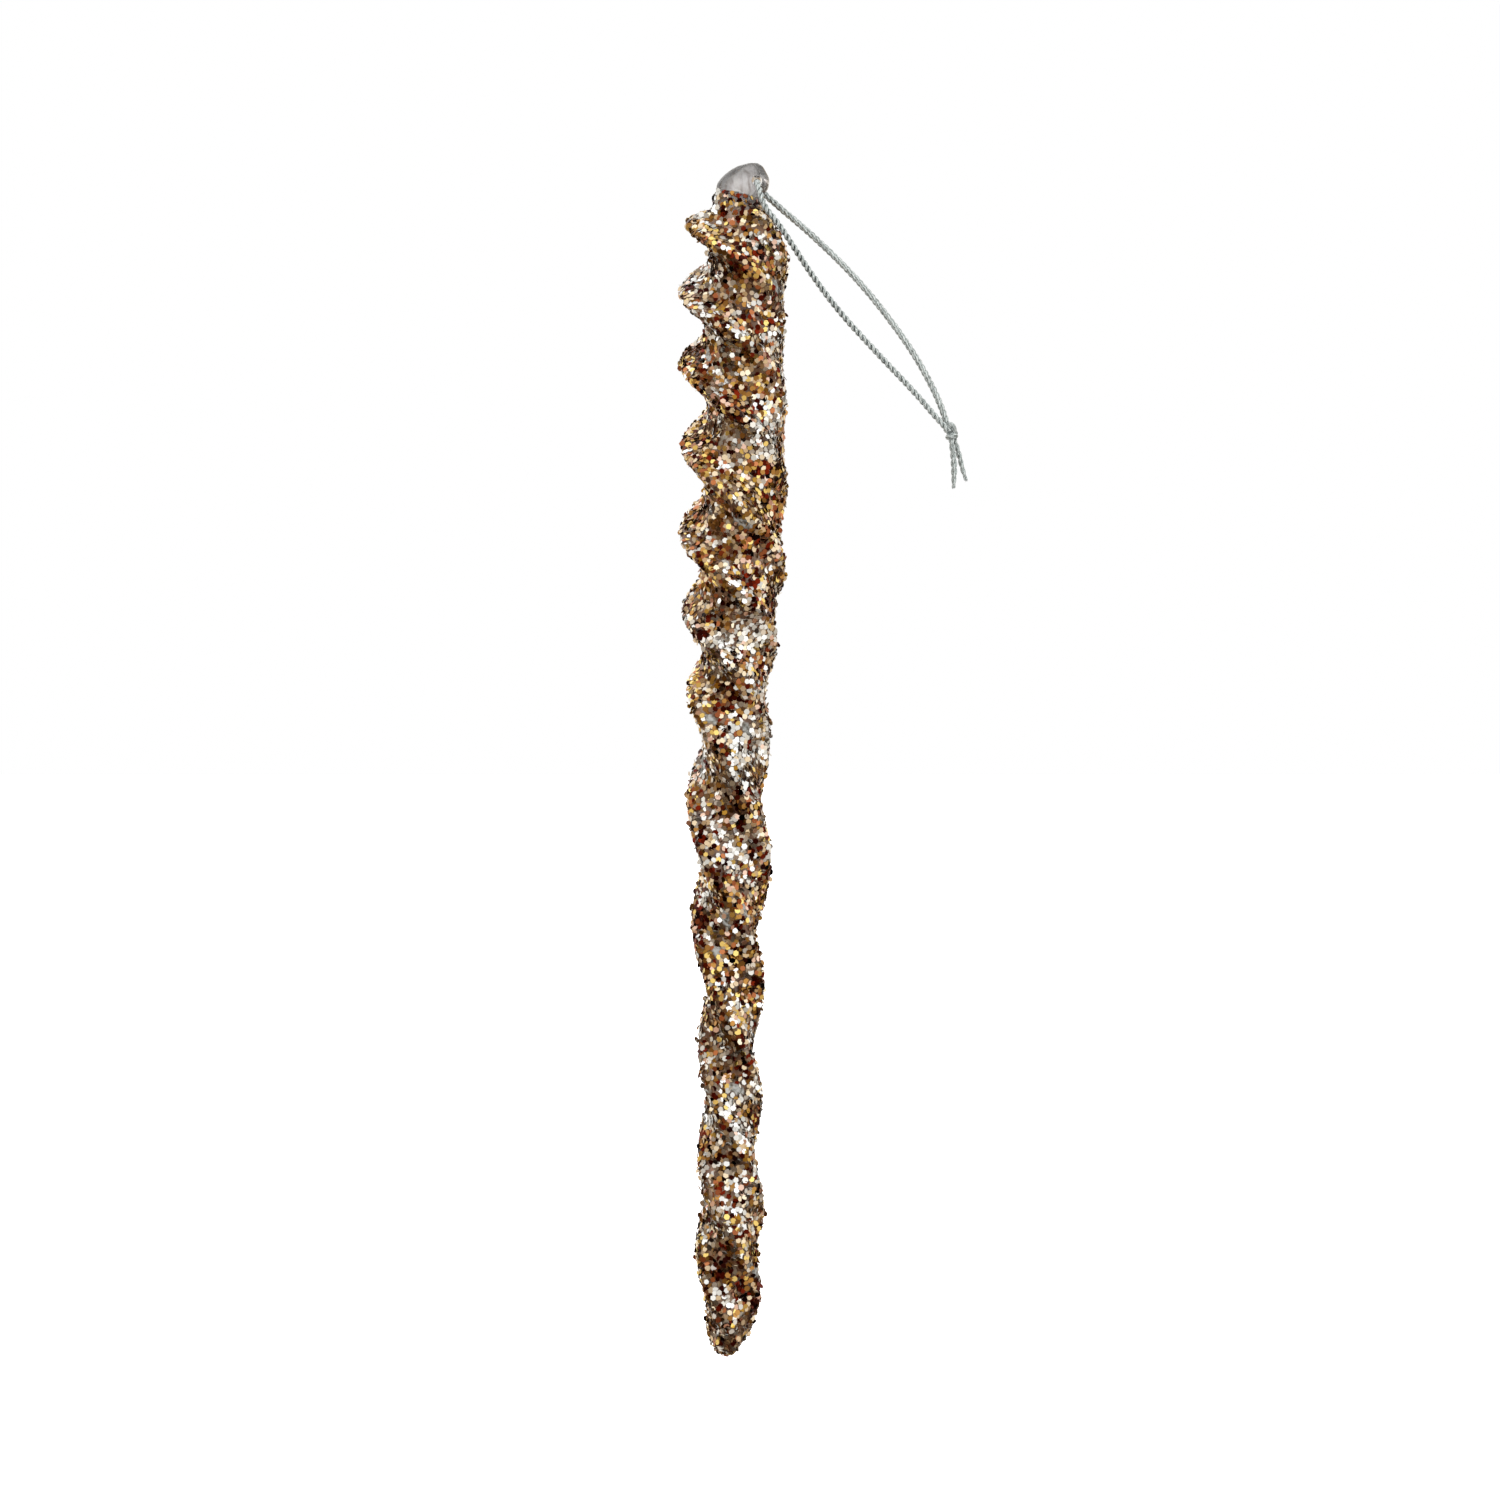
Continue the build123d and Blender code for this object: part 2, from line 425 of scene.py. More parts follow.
def overhand_knot(name, node):
    """The doubled cord tied on itself: turns wound round a leaning axis, and one over them."""
    low, high = (np.array(corner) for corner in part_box(node))
    centre = (low + high) / 2
    axis = np.array([-math.sin(KNOT_LEAN), 0, math.cos(KNOT_LEAN)])
    side = np.array([math.cos(KNOT_LEAN), 0, math.sin(KNOT_LEAN)])
    depth = np.array([0, 1.0, 0])
    # painted shade in the grooves, and an even darkness
    made = Mesh((0.5,), 0.08)

    def turn_points(degrees, heights, reaches):
        """A turn round the axis: its angle, and its height and reach in mm, from and to."""
        points = []
        for t in np.linspace(0, 1, KNOT_TURN_POINTS):
            angle, height, reach = (
                start + (end - start) * t for start, end in (degrees, heights, reaches)
            )
            angle = math.radians(angle)
            out = side * math.cos(angle) * reach + depth * math.sin(angle) * reach
            points.append(centre + (out + axis * height) * MM)
        return np.array(points)

    upper = turn_points((150, 560), (0.95, 0.5), (0.45, 0.6))
    lower = turn_points((10, 395), (-0.55, -1.1), (0.8, 0.6))
    over = [(-0.6, -0.2, 1.3), (0.15, -0.8, 1.1), (0.75, -0.75, 0.45), (0.7, -0.1, -0.5)]
    cross = [tuple(centre + (side * x + depth * y + axis * z) * MM) for x, y, z in over]
    core = [tuple(centre + axis * z * MM) for z in (1.5, 0.5, -0.5, -1.5)]
    made.twist(upper, 0.16 * MM, 0.78 * MM, PLY_PITCH)
    made.twist(lower, 0.16 * MM, 0.7 * MM, PLY_PITCH)
    bulge = (0.7 * MM, 1.05 * MM, 0.8 * MM)
    made.twist(spline_points(cross), 0.13 * MM, bulge, PLY_PITCH * 2)
    made.twist(spline_points(core), 0.3 * MM, 0.95 * MM, PLY_PITCH)
    knot = made.piece(name, THREAD, CORD_BODY, CORD_SLOT)
    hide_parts(node)
    return knot


# The front strand's plies are thinner and further apart than the back one's, and it gets more
# painted shade in its grooves, most of all near the head
front, front_path = strand(
    "cord_front",
    FRONT_STRAND,
    "cord_front_strand",
    spread=0.27 * MM,
    thickness=0.58 * MM,
    groove_shade_depth=(0.1, 0.25, 0.9, 0.85, 0.75, 0.6, 0.45, 0.3, 0.2),
    shade=0.0,
)
back, back_path = strand(
    "cord_back",
    BACK_STRAND,
    "cord_back_strand",
    spread=0.21 * MM,
    thickness=0.78 * MM,
    groove_shade_depth=(0.1, 0.15, 0.2),
    shade=0.06,
)
knot = overhand_knot("cord_overhand_knot", "cord_knot")
left_end = tail("cord_end_left", LEFT_TAIL, "cord_left_tail", (1.1, 1.15, 1.2, 1.1, 0.7), 3)
right_end = tail("cord_end_right", RIGHT_TAIL, "cord_right_tail", (1.0, 1.0, 1.0, 0.95, 0.65), 4)

# ---------------------------------------------------------------- the icicle's surface

ROW_STEP = 0.36 * MM
COLUMNS = 144
HEAD_DEPTH = 4 * MM  # how far below the eye the finer rows of the head go
HEAD_STEP = 0.02 * MM  # the step at the crown, which grows with depth
HEAD_GROWTH = 0.16
HEAD_GROWTH_START = 0.01 * MM
HEAD_GROWTH_LIMIT = 0.3 * MM
POINT_RUN = 2.5 * MM  # above the point, the run with the finer rows below
POINT_SHARES = (0.85, 0.7, 0.56, 0.43, 0.31, 0.2, 0.12, 0.06, 0.025, 0.008)
WALL_RADIUS = 1.1 * MM * 1.03  # corners this near the eye's axis are on its wall
RAY_START = 0.04
RAY_MISS = 0.05 * MM  # a ray that gets this near a row's middle went in through the eye
MIDDLE_SAMPLES = 800
MIDDLE_BLUR = 18
HEAD_SMOOTHING = 0.3  # how much the head's own middles give way to the smooth line


def smoothed(values, sigma, axis=0, periodic=False):
    """Values blurred along an axis."""
    reach = max(1, int(math.ceil(sigma * 3)))
    kernel = np.exp(-0.5 * (np.arange(-reach, reach + 1) / sigma) ** 2)
    kernel /= kernel.sum()
    pads = [(0, 0)] * values.ndim
    pads[axis] = (reach, reach)
    padded = np.pad(values, pads, mode="wrap" if periodic else "edge")
    return np.apply_along_axis(lambda line: np.convolve(line, kernel, mode="valid"), axis, padded)


def fade(values, start, run):
    """0 up to a start, 1 from a run past it, and in between in proportion."""
    return np.clip((values - start) / run, 0, 1)


def frame_surface():
    """The outside of the glass and its coat as a search tree, with the eye's wall left out."""
    vertices, triangles = [], []
    for node in ("glass_icicle", "glitter_coat"):
        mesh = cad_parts[node].data
        mesh.calc_loop_triangles()
        corners = [v.co.copy() for v in mesh.vertices]
        first = len(vertices)
        vertices.extend(corners)
        wall = [math.hypot(c.x, c.z) < WALL_RADIUS for c in corners]
        for triangle in mesh.loop_triangles:
            a, b, c = triangle.vertices
            if not (wall[a] and wall[b] and wall[c]):
                triangles.append((first + a, first + b, first + c))
    return BVHTree.FromPolygons(vertices, triangles)


def row_heights(top, bottom):
    """The rows' heights from the crown down, closer together on the head and at the point."""
    depth = 0.0
    heights = []
    while top - depth > -HEAD_DEPTH:
        growth = min(HEAD_GROWTH_LIMIT, depth * HEAD_GROWTH + HEAD_GROWTH_START)
        depth += HEAD_STEP + growth
        heights.append(top - depth)
    height = heights[-1]
    while height - ROW_STEP > bottom + POINT_RUN:
        height -= ROW_STEP
        heights.append(height)
    gap = height - bottom
    heights.extend(bottom + gap * share for share in POINT_SHARES)
    return np.array(heights)


def row_middles(tree, heights, top, bottom):
    """Where each row's middle is along X: smoothed on the shaft, closer to the head's own above."""
    found = []
    for z in heights:
        left = tree.ray_cast(Vector((-RAY_START, 0, z)), Vector((1, 0, 0)))[0]
        right = tree.ray_cast(Vector((RAY_START, 0, z)), Vector((-1, 0, 0)))[0]
        found.append((left.x + right.x) / 2 if left and right else np.nan)
    found = np.array(found)
    known = ~np.isnan(found)
    found = np.interp(-heights, -heights[known], found[known])
    samples = np.linspace(top, bottom, MIDDLE_SAMPLES)
    blurred = smoothed(np.interp(-samples, -heights, found), MIDDLE_BLUR)
    smooth = np.interp(-heights, -samples, blurred)
    on_shaft = fade(-heights, 2 * MM, 6 * MM)
    on_head = smooth * HEAD_SMOOTHING + found * (1 - HEAD_SMOOTHING)
    return smooth * on_shaft + on_head * (1 - on_shaft)


def row_radii(tree, heights, middles, angles):
    """The surface's distance from each row's middle at each angle."""
    radii = np.full((len(heights), COLUMNS), np.nan)
    for i, (z, middle) in enumerate(zip(heights, middles)):
        for k, angle in enumerate(angles):
            out = Vector((math.cos(angle), math.sin(angle), 0))
            start = Vector((middle, 0, z)) + out * RAY_START
            hit, _, _, distance = tree.ray_cast(start, -out)
            if hit is not None and distance < RAY_START - RAY_MISS:
                radii[i, k] = RAY_START - distance
    for i, row in enumerate(radii):
        known = ~np.isnan(row)
        if not known.all():
            turned = [angles[known] + turn for turn in (-FULL_TURN, 0, FULL_TURN)]
            radii[i] = np.interp(angles, np.concatenate(turned), np.tile(row[known], 3))
    return radii


def icicle_grid():
    """The icicle's outside as rows of points, from the crown down to the point."""
    tree = frame_surface()
    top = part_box("glass_icicle")[1][2]
    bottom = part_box("glitter_coat")[0][2]
    heights = row_heights(top, bottom)
    middles = row_middles(tree, heights, top, bottom)
    angles = FULL_TURN * np.arange(COLUMNS) / COLUMNS
    radii = smoothed(row_radii(tree, heights, middles, angles), 1.0, axis=1, periodic=True)
    below_eye = heights < -2 * MM
    radii[below_eye] = smoothed(radii[below_eye], 1.0)
    x = middles[:, None] + radii * np.cos(angles)
    y = radii * np.sin(angles)
    z = np.broadcast_to(heights[:, None], radii.shape)
    return np.stack([x, y, z], -1), middles


def closed_grid(points, top, bottom):
    """Vertices and faces of rows of points closed by a point at either end."""
    rows, columns = points.shape[:2]
    vertices = list(points.reshape(-1, 3)) + [top, bottom]
    faces = []
    for i in range(rows - 1):
        for k in range(columns):
            following = (k + 1) % columns
            upper, under = i * columns, (i + 1) * columns
            faces.append((upper + k, under + k, under + following, upper + following))
    last = (rows - 1) * columns
    for k in range(columns):
        following = (k + 1) % columns
        faces.append((rows * columns, k, following))
        faces.append((rows * columns + 1, last + following, last + k))
    return vertices, faces


NOISE_VALUES = 4096
NOISE_PRIMES = (73856093, 19349663, 83492791)


def value_noise(points, scale, seed):
    """Smooth noise from -1 to 1 at points, with cells of a size."""
    rng = np.random.default_rng(seed)
    table = rng.uniform(-1, 1, NOISE_VALUES)
    cells = points / scale
    base = np.floor(cells).astype(int)
    part = cells - base
    part = part * part * (3 - 2 * part)
    total = np.zeros(len(points))
    for dx in (0, 1):
        for dy in (0, 1):
            for dz in (0, 1):
                x, y, z = ((base + (dx, dy, dz)) * NOISE_PRIMES).T
                weight = (
                    (part[:, 0] if dx else 1 - part[:, 0])
                    * (part[:, 1] if dy else 1 - part[:, 1])
                    * (part[:, 2] if dz else 1 - part[:, 2])
                )
                total += table[(x ^ y ^ z) & (NOISE_VALUES - 1)] * weight
    return total


def grid_normals(points):
    """Outward directions at the rows' points."""
    around = np.roll(points, -1, 1) - np.roll(points, 1, 1)
    down = np.gradient(points, axis=0)
    return unit(np.cross(down, around))


surface, middles = icicle_grid()
normals = grid_normals(surface)

PATCH_COUNT = 34
PATCH_SEED = 51
RAGGED_SEED = 52
RAGGEDNESS = 0.4  # all three in half sizes of a patch
PATCH_EDGE = 1.15
PATCH_FADE = 0.3


def bare_patches():
    """Leaf-shaped spots where the glitter came off: centre, long direction, half sizes."""
    rng = np.random.default_rng(PATCH_SEED)
    patches = []
    for _ in range(PATCH_COUNT):
        row = int(len(surface) * (0.06 + 0.9 * rng.random() ** 0.7))
        column = rng.integers(COLUMNS)
        centre, outward = surface[row, column], normals[row, column]
        round_it = unit(np.cross([0.0, 0.0, 1.0], outward))
        down = np.cross(round_it, outward)
        slant = math.radians(rng.uniform(15, 60))
        along = down * math.cos(slant) + round_it * math.sin(slant)
        patches.append((centre, along, rng.uniform(1.4, 2.6) * MM, rng.uniform(0.6, 1.05) * MM))
    return patches


PATCHES = bare_patches()


def bareness(points):
    """How bare the icicle is at points, from 0 under glitter to 1 in a bare patch."""
    bare = np.zeros(len(points))
    ragged = value_noise(points, 0.9 * MM, RAGGED_SEED) * RAGGEDNESS
    for centre, along, length, width in PATCHES:
        off = points - centre
        lengthways = off @ along
        sideways = np.linalg.norm(off - lengthways[:, None] * along, axis=1)
        size = np.hypot(lengthways / length, sideways / width) + ragged
        bare = np.maximum(bare, np.clip((PATCH_EDGE - size) / PATCH_FADE, 0, 1))
    return bare


# ---------------------------------------------------------------- glass

WHITE = (1.0, 1.0, 1.0)


def head_colour(made, where, place):
    """The clear head, which has painted shade at its rim, is streaked, and marked by a fold.

    The loop of glass round the eye was folded over the head: a bent dark line where the fold
    closed, a pale band beside it, and painted shade along the thicker glass at the +X edge.
    """
    rim = made.node("LayerWeight", {"Blend": 0.35}).outputs["Facing"]
    # painted shade: the glass is darker where it is seen edge-on
    painted_rim_shade = made.ramp(
        rim,
        [(0.0, (0.70, 0.68, 0.66)), (0.4, (0.56, 0.55, 0.53)), (0.78, (0.09, 0.08, 0.07))],
    )
    bend = made.math("MULTIPLY_ADD", place["Z"], -156.0, 0.094)
    bend = made.math("MULTIPLY_ADD", bend, place["Z"], 0.00061)
    across = made.math("SUBTRACT", place["X"], bend)
    # the fold's own dark line and pale band, and painted shade along the +X edge
    fold_and_edge_shade = made.ramp(
        made.remap(across, -1.0 * MM, 2.0 * MM),
        [
            (0.22, WHITE),
            (0.31, (0.42, 0.40, 0.38)),
            (0.36, WHITE),
            (0.52, (0.86, 0.86, 0.86)),
            (0.72, (0.42, 0.41, 0.40)),
            (0.82, (0.45, 0.44, 0.43)),
            (0.92, (0.85, 0.84, 0.83)),
        ],
    )
    stretched = made.node("VectorMath", {0: where, 1: (1.0, 1.0, 0.35)}, operation="MULTIPLY")
    streaks = made.ramp(
        made.noise(620.0, 2.0, stretched.outputs[0], 1.2),
        [(0.34, (0.52, 0.48, 0.46)), (0.46, (0.90, 0.88, 0.90)), (0.62, WHITE)],
    )
    return made.multiply(made.multiply(painted_rim_shade, fold_and_edge_shade), streaks)


def glass_material():
    """Clear lampworked glass, brown on its shaft from glue tint and painted bounced light, pale
    grey where the glitter is off.
    """
    made = Shader("clear_glass", IOR=1.5)
    where = made.node("TexCoord").outputs["Object"]
    place = made.node("SeparateXYZ", {0: where}).outputs
    on_shaft = made.remap(place["Z"], -2.5 * MM, -6.5 * MM)
    # the glue's brown tint together with painted light bounced among the gold flakes
    glue_tint_and_bounce = made.ramp(
        made.noise(160.0, 3.0),
        [(0.3, (0.06, 0.018, 0.006)), (0.5, (0.20, 0.085, 0.035)), (0.7, (0.46, 0.29, 0.17))],
    )
    tint = made.mix(on_shaft, head_colour(made, where, place), glue_tint_and_bounce)
    bare = made.layer("bare")
    # paler grey where the glitter is off
    pale_bare = made.ramp(
        made.noise(1500.0, 4.0),
        [(0.36, srgb(104, 94, 80)), (0.48, srgb(178, 177, 168)), (0.6, srgb(230, 230, 225))],
    )
    made.feed("Base Color", made.mix(bare, tint, pale_bare))
    made.feed("Transmission Weight", made.remap(on_shaft, 0.0, 1.0, 0.85, 0.5))
    made.feed("Roughness", made.remap(on_shaft, 0.0, 1.0, 0.02, 0.3))
    ripple = made.noise(300.0, 2.0, distortion=0.8)
    crinkle = made.math("MULTIPLY", made.noise(1500.0, 4.0), bare)
    made.bump(made.math("MULTIPLY_ADD", crinkle, 3.0, ripple), 0.12 * MM, 0.35)
    return made.material


LUMPS = ((1.6, 11, 0.07), (4.5, 12, 0.1))  # width in mm, seed, height in mm
SINK_MM = 0.12  # how far the glass is below the coat's surface
PATCH_RISE_MM = 0.1  # and how much of that it comes back in a bare patch
SHARP_ANGLE = math.radians(50)
BORE_RADIUS = 0.9 * MM  # the smooth hole left inside the eye's fire-polished rims
BORE_REACH_MM = 7
BORE_POINTS = 57


def bore_rod():
    """A rod along the eye, longer than the head is deep."""
    places = np.linspace(-BORE_REACH_MM, BORE_REACH_MM, BORE_POINTS) * MM
    bore = Mesh()
    across = np.zeros(BORE_POINTS)
    bore.tube(np.stack([across, places, across], 1), BORE_RADIUS, 64)
    mesh = bpy.data.meshes.new("bore")
    mesh.from_pydata([tuple(v) for v in bore.vertices], [], [tuple(f) for f in bore.faces])
    rod = bpy.data.objects.new("bore", mesh)
    scene.collection.objects.link(rod)
    return rod


def cut_out(made, cutter):
    """Takes the cutter's shape out of a piece, and removes the cutter."""
    cut = made.modifiers.new("eye", "BOOLEAN")
    cut.operation = "DIFFERENCE"
    cut.solver = "EXACT"
    cut.object = cutter
    bpy.context.view_layer.update()
    depsgraph = bpy.context.evaluated_depsgraph_get()
    finished = bpy.data.meshes.new_from_object(made.evaluated_get(depsgraph))
    made.modifiers.clear()
    made.data = finished
    bpy.data.objects.remove(cutter)


def glass_piece():
    """The whole icicle in clear glass, its shaft slightly lumpy under the glitter, with its eye."""
    flat = surface.reshape(-1, 3)
    lump = sum(value_noise(flat, width * MM, seed) * height * MM for width, seed, height in LUMPS)
    cover = fade(-flat[:, 2], 4 * MM, 3 * MM)
    bare = bareness(flat)
    rise = (lump - SINK_MM * MM) * cover + bare * PATCH_RISE_MM * MM
    points = (flat + normals.reshape(-1, 3) * rise[:, None]).reshape(surface.shape)
    top = (middles[0], 0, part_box("glass_icicle")[1][2])
    bottom = (middles[-1], 0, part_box("glitter_coat")[0][2] + 0.1 * MM)
    vertices, faces = closed_grid(points, top, bottom)
    layers = {"bare": np.concatenate([bare, [0.0, 0.0]])}
    made = piece("glass_body", vertices, faces, glass_material(), "icicle", layers)
    cut_out(made, bore_rod())
    made.data.polygons.foreach_set("use_smooth", [True] * len(made.data.polygons))
    made.data.set_sharp_from_angle(angle=SHARP_ANGLE)
    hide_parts("glass_icicle")


glass_piece()

# ---------------------------------------------------------------- glitter

FLAKE_WIDTH = 1.05 * MM  # across opposite corners
FLAKE_THICKNESS = 0.05 * MM
FLAKE_SPACING = 0.56 * MM
FLAKE_TRIES = 90000
SCATTER_SEED = 20
FLAKE_SEED = 21
COAT_EDGE = -3.2 * MM  # the coat's edge crosses the Z axis here
COAT_SLOPE = math.tan(math.radians(12))  # and slants downwards towards +X
STRAY_RISE = 0.4 * MM  # a few flakes lie up to this far above it
STRAY_SHARE = 0.05
BARE_LIMIT = 0.35  # flakes lie where it's less bare than this
REMAINING_SHARE = 0.03  # and a few remain where it's barer
NEIGHBOURS = [(x, y, z) for x in (-1, 0, 1) for y in (-1, 0, 1) for z in (-1, 0, 1)]


def flake_material(name, tones, rough):
    """Metallised film: each flake has its own tone and its own polish."""
    made = Shader(name, Metallic=1.0)
    places = np.linspace(0, 1, len(tones))
    made.feed("Base Color", made.ramp(made.layer("tone"), list(zip(places, tones))))
    made.feed("Roughness", made.remap(made.layer("polish"), 0.0, 1.0, *rough))
    return made.material


# Each kind of flake: share, its tones from dark to light, and its roughness from and to
FLAKE_KINDS = {
    "flakes_champagne": (0.23, [srgb(176, 148, 112), srgb(244, 232, 206)], (0.14, 0.36)),
    "flakes_silver": (0.26, [srgb(172, 170, 164), srgb(248, 250, 251)], (0.12, 0.36)),
    "flakes_gold": (0.10, [srgb(150, 108, 34), srgb(248, 222, 138)], (0.12, 0.34)),
    "flakes_bronze": (0.13, [srgb(96, 62, 22), srgb(186, 138, 76)], (0.15, 0.4)),
    "flakes_copper": (0.10, [srgb(96, 36, 14), srgb(192, 124, 82)], (0.12, 0.35)),
    "flakes_rose": (0.07, [srgb(160, 118, 98), srgb(236, 206, 188)], (0.12, 0.35)),
    "flakes_umber": (0.11, [srgb(6, 5, 5), srgb(60, 14, 6), srgb(116, 34, 14)], (0.15, 0.4)),
}

WARM_NOISE = ((9.0, 31), (3.0, 32))  # width of the clusters in mm, and seed
DARK_NOISE = (3.2, 33)
SHAFT_MIDDLE = np.array([-2.6, 0.0]) * MM  # X and Y
CREST_REACH = 7.6 * MM  # beyond this distance from it a flake is on a ridge

# How much more common a kind is in warm clusters and in dark ones
CLUSTERS = {
    "flakes_silver": (-2.9, -1.0),
    "flakes_gold": (1.2, 0.0),
    "flakes_bronze": (1.0, 0.6),
    "flakes_copper": (1.4, 0.6),
    "flakes_umber": (0.4, 2.6),
}


def spaced(places, allowed):
    """Which of the allowed places to keep, so that they are at least a spacing apart."""
    cells, kept = {}, []
    for i in np.flatnonzero(allowed):
        x, y, z = np.floor(places[i] / FLAKE_SPACING).astype(int)
        near = [
            j for dx, dy, dz in NEIGHBOURS for j in cells.get((x + dx, y + dy, z + dz), ())
        ]
        gaps = np.sum((places[i] - places[near]) ** 2, axis=1) if near else np.array([np.inf])
        if gaps.min() >= FLAKE_SPACING**2:
            cells.setdefault((x, y, z), []).append(i)
            kept.append(i)
    return kept


def scatter():
    """Places for flakes on the shaft, with their outward directions."""
    rng = np.random.default_rng(SCATTER_SEED)
    a, b = surface[:-1], surface[1:]
    c = np.roll(b, -1, 1)
    area = np.linalg.norm(np.cross(b - a, c - a), axis=-1)
    chance = (area / area.sum()).ravel()
    picks = rng.choice(len(chance), FLAKE_TRIES, p=chance)
    rows, columns = np.divmod(picks, COLUMNS)
    down = rng.random(FLAKE_TRIES)[:, None]
    across = rng.random(FLAKE_TRIES)[:, None]
    following = (columns + 1) % COLUMNS

    def blend(grid):
        upper = grid[rows, columns] * (1 - across) + grid[rows, following] * across
        under = grid[rows + 1, columns] * (1 - across) + grid[rows + 1, following] * across
        return upper * (1 - down) + under * down

    places, directions = blend(surface), unit(blend(normals))
    above = places[:, 2] - (COAT_EDGE - places[:, 0] * COAT_SLOPE)
    stray = rng.random(FLAKE_TRIES) < STRAY_SHARE
    remaining = rng.random(FLAKE_TRIES) < REMAINING_SHARE
    allowed = (above < 0) | ((above < STRAY_RISE) & stray)
    allowed &= remaining | (bareness(places) < BARE_LIMIT)
    kept = spaced(places, allowed)
    return places[kept], directions[kept]


SIDES = 6
UPRIGHT = np.array([0.0, 0.0, 1.0])
ASKEW = UPRIGHT + 0.31  # a direction that no flake faces exactly
SWAY = 0.30  # how far the flakes of a neighbourhood lean together
SWAY_SEEDS = (41, 42)
UNEVEN_SHARE = 0.6
EVEN_TILT, UNEVEN_TILT = 9, 23  # degrees
LOOSE_SHARE, LOOSE_LOW_DOWN = 0.04, 0.06  # everywhere, and how much more low down
LOOSE_TILT = (25, 50)
LOOSE_RISE = 0.3  # mm
RISE = (-0.16, 0.06)  # mm
TILT_RISE = 0.35
SIZE_SPREAD = 0.06
SIZE_LIMITS = (0.8, 1.2)


def across_directions(outward):
    """A level direction across each outward one, and the third, square to both."""
    side = unit(np.cross(UPRIGHT, outward))
    return side, np.cross(outward, side)


def flake_corners(rng, places, outward, low_down):
    """The corners of closed hexagonal plates that lie on the shaft, a few of them loosely."""
    count = len(places)
    side, other = across_directions(outward)
    sideways, otherways = (value_noise(places, 3.6 * MM, seed)[:, None] for seed in SWAY_SEEDS)
    outward = unit(outward + SWAY * (sideways * side + otherways * other))
    side, other = across_directions(outward)
    uneven = rng.random(count) < UNEVEN_SHARE
    tilt = np.abs(rng.normal(0, 1, count)) * np.where(uneven, UNEVEN_TILT, EVEN_TILT)
    tilt = np.radians(tilt)
    loose = rng.random(count) < LOOSE_SHARE + LOOSE_LOW_DOWN * low_down
    tilt[loose] = np.radians(rng.uniform(*LOOSE_TILT, loose.sum()))
    turn = rng.uniform(0, FULL_TURN, count)
    lean = side * np.cos(turn)[:, None] + other * np.sin(turn)[:, None]
    axis = outward * np.cos(tilt)[:, None] + lean * np.sin(tilt)[:, None]
    spin = rng.uniform(0, FULL_TURN / SIDES, count)
    along = unit(np.cross(axis, ASKEW))
    across = np.cross(axis, along)
    size = FLAKE_WIDTH / 2 * rng.normal(1, SIZE_SPREAD, count).clip(*SIZE_LIMITS)
    rise = rng.uniform(*RISE, count) * MM + np.sin(tilt) * size * TILT_RISE
    rise = rise + loose * rng.uniform(0.0, LOOSE_RISE, count) * MM
    centres = places + outward * rise[:, None]
    corners = []
    for k in range(SIDES):
        angle = spin + k * FULL_TURN / SIDES
        ray = along * np.cos(angle)[:, None] + across * np.sin(angle)[:, None]
        corners.append(centres + ray * size[:, None])
    corners = np.stack(corners, 1)
    half = (axis * FLAKE_THICKNESS / 2)[:, None, :]
    return np.concatenate([corners + half, corners - half], 1)


def flake_kinds(rng, places, low_down):
    """Each flake's kind, as its number among FLAKE_KINDS."""
    warm = sum(value_noise(places, width * MM, seed) * 0.6 for width, seed in WARM_NOISE)
    dark = value_noise(places, DARK_NOISE[0] * MM, DARK_NOISE[1])
    crest = fade(np.linalg.norm(places[:, :2] - SHAFT_MIDDLE, axis=1), CREST_REACH, MM)
    top = fade(places[:, 2], -14 * MM, 8 * MM)
    shares = np.array([share for share, _, _ in FLAKE_KINDS.values()])
    weights = np.tile(shares, (len(places), 1))
    weight = {name: weights[:, k] for k, name in enumerate(FLAKE_KINDS)}
    for name, (to_warm, to_dark) in CLUSTERS.items():
        weight[name] *= np.exp(to_warm * warm + to_dark * dark)
    weight["flakes_gold"] *= 1 + 0.5 * crest
    weight["flakes_silver"] *= (0.95 + 0.6 * low_down) * (1 - 0.3 * crest) * (1 - 0.4 * top)
    weight["flakes_copper"] *= (1 - 0.3 * low_down) * (1 - 0.4 * top)
    weight["flakes_bronze"] *= 1 + 0.8 * top
    weight["flakes_umber"] *= 1 + 0.4 * low_down + 0.6 * top
    weights /= weights.sum(1, keepdims=True)
    past = rng.random(len(places))[:, None] > np.cumsum(weights, 1)
    return past.sum(1).clip(0, len(FLAKE_KINDS) - 1)


def flake_pieces():
    """The flakes on the shaft, sorted by kind into one piece each."""
    rng = np.random.default_rng(FLAKE_SEED)
    places, outward = scatter()
    low_down = fade(-places[:, 2], 60 * MM, 80 * MM)
    solid = flake_corners(rng, places, outward, low_down)
    kinds = flake_kinds(rng, places, low_down)
    tone, polish = rng.random(len(places)), rng.random(len(places))
    ends = [tuple(range(SIDES)), tuple(reversed(range(SIDES, 2 * SIDES)))]
    following = [(k + 1) % SIDES for k in range(SIDES)]
    edges = [(k, k + SIDES, following[k] + SIDES, following[k]) for k in range(SIDES)]
    corners = 2 * SIDES
    for number, (name, (_, tones, rough)) in enumerate(FLAKE_KINDS.items()):
        chosen = np.flatnonzero(kinds == number)
        vertices = solid[chosen].reshape(-1, 3)
        faces = [
            tuple(corners * i + v for v in face)
            for i in range(len(chosen))
            for face in ends + edges
        ]
        layers = {
            "tone": np.repeat(tone[chosen], corners),
            "polish": np.repeat(polish[chosen], corners),
        }
        material = flake_material(name, tones, rough)
        made = piece(name, vertices, faces, material, "icicle", layers, smooth=False)
        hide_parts("glitter_coat")


flake_pieces()

# ---------------------------------------------------------------- studio

FLOOR_HEIGHT = -0.32
FLOOR_HALF = 30.0
PLAIN_WHITE = (1, 1, 1, 1)


